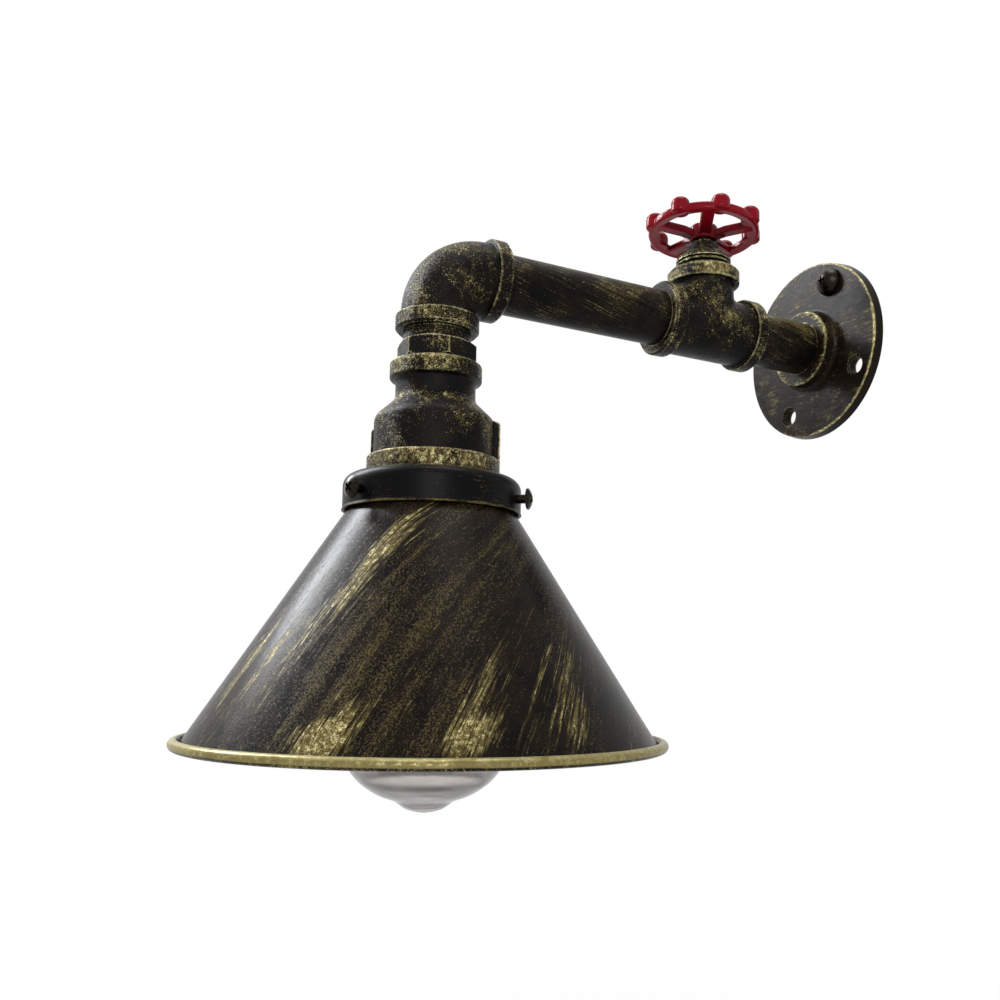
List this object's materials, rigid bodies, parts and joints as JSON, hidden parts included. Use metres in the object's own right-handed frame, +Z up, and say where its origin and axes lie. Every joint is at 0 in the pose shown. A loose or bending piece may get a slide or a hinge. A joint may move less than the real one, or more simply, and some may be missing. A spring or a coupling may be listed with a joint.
{
  "type": "pipe wall light",
  "caption": "Wall light built from iron pipe and fittings, with a cone shade, a bare filament bulb and a valve handwheel that turns its switch.",
  "frame": {"origin": "centre of the wall flange's back, in the plane of the wall", "axes": "+Y into the wall, -Y along the arm into the room, +Z up"},
  "size_m": [0.2004, 0.3185, 0.2908],
  "materials": {
    "cast_fitting": "black paint brushed over with gold",
    "pipe": "black paint with fine gold streaks",
    "shade_metal": "black paint with slanting gold brush strokes",
    "screw": "dark bronze",
    "red_enamel": "gloss",
    "brass": "plain",
    "black_plastic": "matt",
    "white_insert": "glazed",
    "steel": "zinc plated",
    "live_wire": "insulation",
    "neutral_wire": "insulation",
    "earth_wire": "insulation",
    "clear_glass": "clear",
    "dark_glass": "gloss"
  },
  "bodies": {
    "base": {"wall_flange": "cast_fitting", "fixing_screw": "screw", "flange_nipple": "pipe", "tee": "cast_fitting", "valve_bonnet": "cast_fitting", "bonnet_ring": "cast_fitting", "packing_nut": "cast_fitting", "switch_body": "black_plastic", "switch_cover": "black_plastic", "switch_bush": "brass", "switch_terminal_in": "brass", "switch_terminal_out": "brass", "arm_pipe": "pipe", "wire_live_in": "live_wire", "wire_live_out": "live_wire", "wire_neutral": "neutral_wire", "wire_earth": "earth_wire"},
    "wheel": {"handwheel": "red_enamel", "valve_stem": "brass", "wheel_grub_screw": "steel", "switch_rotor": "black_plastic", "switch_wiper": "brass"},
    "head": {"elbow": "cast_fitting", "hex_nipple": "cast_fitting", "reducing_socket": "cast_fitting", "support_plug": "steel", "threaded_tube": "steel", "tube_locknut": "steel", "earth_tag": "brass", "gallery": "shade_metal", "shade": "shade_metal", "holder_cap": "black_plastic", "holder_body": "black_plastic", "holder_insert": "white_insert", "holder_shell": "brass", "holder_contact": "brass", "live_screw": "brass", "neutral_screw": "brass", "shade_ring": "black_plastic", "head_wire_live": "live_wire", "head_wire_neutral": "neutral_wire", "head_wire_earth": "earth_wire"},
    "gallery_screw_1": {"gallery_screw_1": "screw"},
    "gallery_screw_2": {"gallery_screw_2": "screw"},
    "gallery_screw_3": {"gallery_screw_3": "screw"},
    "bulb": {"bulb_glass": "clear_glass", "bulb_cap": "brass", "bulb_insulator": "dark_glass", "bulb_contact": "brass", "bulb_stem": "clear_glass", "bulb_lead_live": "steel", "bulb_lead_neutral": "steel", "bulb_filament": "steel", "bulb_support_top": "steel", "bulb_support_bottom": "steel"}
  },
  "joints": [
    {"name": "wheel_turn", "type": "hinge", "parent": "base", "child": "wheel", "pos_m": [0, -0.0759, 0.04], "axis": [0, 0, 1], "continuous": true},
    {"name": "head_swivel", "type": "hinge", "parent": "base", "child": "head", "pos_m": [0, -0.2183, 0], "axis": [0, 1, 0], "range_deg": [-45, 45]},
    {"name": "bulb_out", "type": "slide", "parent": "head", "child": "bulb", "axis": [0, 0, -1], "range_m": [0, 0.032]},
    {"name": "gallery_screw_1_out", "type": "slide", "parent": "head", "child": "gallery_screw_1", "axis": [0.6561, 0.7547, 0], "range_m": [0, 0.003]},
    {"name": "gallery_screw_2_out", "type": "slide", "parent": "head", "child": "gallery_screw_2", "axis": [0.3256, -0.9455, 0], "range_m": [0, 0.003]},
    {"name": "gallery_screw_3_out", "type": "slide", "parent": "head", "child": "gallery_screw_3", "axis": [-0.9816, 0.1908, 0], "range_m": [0, 0.003]}
  ]
}
